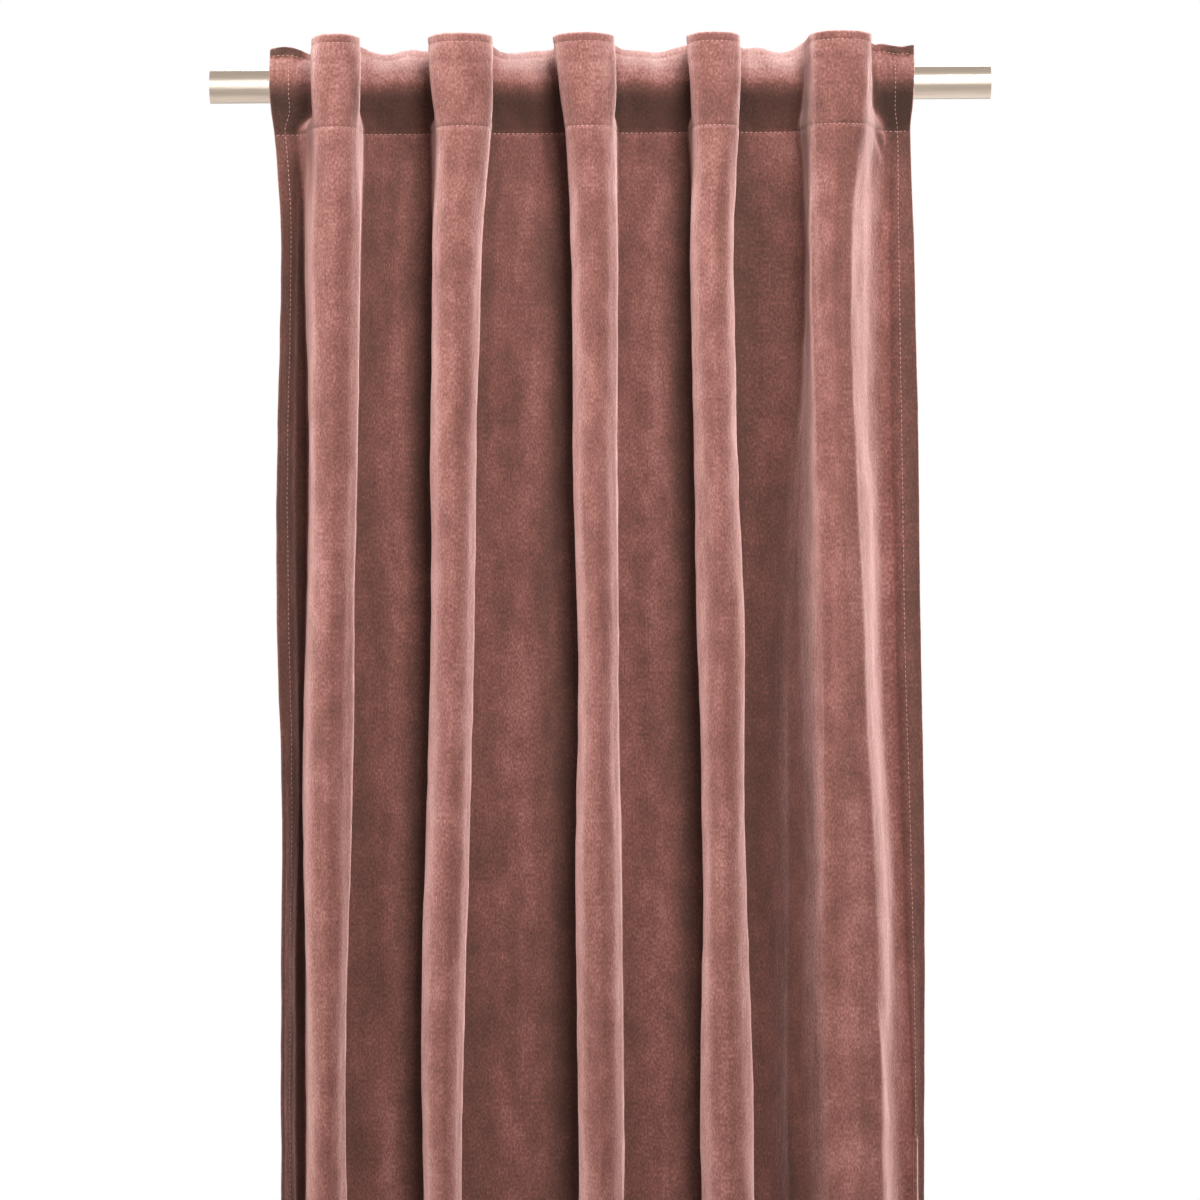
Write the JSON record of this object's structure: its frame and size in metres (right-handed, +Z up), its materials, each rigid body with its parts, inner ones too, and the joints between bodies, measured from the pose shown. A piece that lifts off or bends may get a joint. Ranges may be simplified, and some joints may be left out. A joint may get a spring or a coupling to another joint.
{
  "type": "curtain panel on rod",
  "caption": "Long velvet curtain panel with a hidden-tab heading, gathered in round-fronted pleats on a plain round steel rod.",
  "frame": {"origin": "on the rod's axis, at the middle of its length", "axes": "+X along the rod to the viewer's right, room side of the curtain towards -Y, +Z up"},
  "size_m": [0.663, 0.1009, 2.396],
  "materials": {
    "velvet": "dusty rose cut-pile velvet",
    "heading_tape": "woven off-white tape",
    "tape_thread": "off-white sewing thread",
    "velvet_thread": "matching sewing thread",
    "rod_steel": "fine brushed"
  },
  "bodies": {
    "rod": {"curtain_rod": "rod_steel"},
    "band_0": {"face_cloth_0": "velvet", "heading_tape_0": "heading_tape", "rod_tab_0": "heading_tape", "tab_tack_0": "tape_thread", "top_stitch_0": "velvet_thread", "header_stitch_0": "velvet_thread", "bottom_hem_0": "velvet", "bottom_stitch_0": "velvet_thread", "left_side_hem": "velvet", "left_hem_stitch": "velvet_thread"},
    "band_1": {"face_cloth_1": "velvet", "heading_tape_1": "heading_tape", "rod_tab_1": "heading_tape", "tab_tack_1": "tape_thread", "top_stitch_1": "velvet_thread", "header_stitch_1": "velvet_thread", "bottom_hem_1": "velvet", "bottom_stitch_1": "velvet_thread"},
    "band_2": {"face_cloth_2": "velvet", "heading_tape_2": "heading_tape", "rod_tab_2": "heading_tape", "tab_tack_2": "tape_thread", "top_stitch_2": "velvet_thread", "header_stitch_2": "velvet_thread", "bottom_hem_2": "velvet", "bottom_stitch_2": "velvet_thread"},
    "band_3": {"face_cloth_3": "velvet", "heading_tape_3": "heading_tape", "rod_tab_3": "heading_tape", "tab_tack_3": "tape_thread", "top_stitch_3": "velvet_thread", "header_stitch_3": "velvet_thread", "bottom_hem_3": "velvet", "bottom_stitch_3": "velvet_thread"},
    "band_4": {"face_cloth_4": "velvet", "heading_tape_4": "heading_tape", "rod_tab_4": "heading_tape", "tab_tack_4": "tape_thread", "top_stitch_4": "velvet_thread", "header_stitch_4": "velvet_thread", "bottom_hem_4": "velvet", "bottom_stitch_4": "velvet_thread"},
    "band_5": {"face_cloth_5": "velvet", "heading_tape_5": "heading_tape", "rod_tab_5": "heading_tape", "tab_tack_5": "tape_thread", "top_stitch_5": "velvet_thread", "header_stitch_5": "velvet_thread", "bottom_hem_5": "velvet", "bottom_stitch_5": "velvet_thread", "right_side_hem": "velvet", "right_hem_stitch": "velvet_thread"}
  },
  "joints": [
    {"name": "panel_slide", "type": "slide", "parent": "rod", "child": "band_0", "axis": [1, 0, 0], "range_m": [-0.045, 0.06]},
    {"name": "fold_1", "type": "slide", "parent": "band_0", "child": "band_1", "axis": [-1, 0, 0], "range_m": [0, 0.0343]},
    {"name": "fold_2", "type": "slide", "parent": "band_1", "child": "band_2", "axis": [-1, 0, 0], "range_m": [0, 0.04056]},
    {"name": "fold_3", "type": "slide", "parent": "band_2", "child": "band_3", "axis": [-1, 0, 0], "range_m": [0, 0.04047]},
    {"name": "fold_4", "type": "slide", "parent": "band_3", "child": "band_4", "axis": [-1, 0, 0], "range_m": [0, 0.03904]},
    {"name": "fold_5", "type": "slide", "parent": "band_4", "child": "band_5", "axis": [-1, 0, 0], "range_m": [0, 0.03866]}
  ],
  "couplings": [
    {"joint": "fold_2", "follows": "fold_1", "ratio": 1.1823},
    {"joint": "fold_3", "follows": "fold_1", "ratio": 1.1796},
    {"joint": "fold_4", "follows": "fold_1", "ratio": 1.1381},
    {"joint": "fold_5", "follows": "fold_1", "ratio": 1.1271}
  ]
}
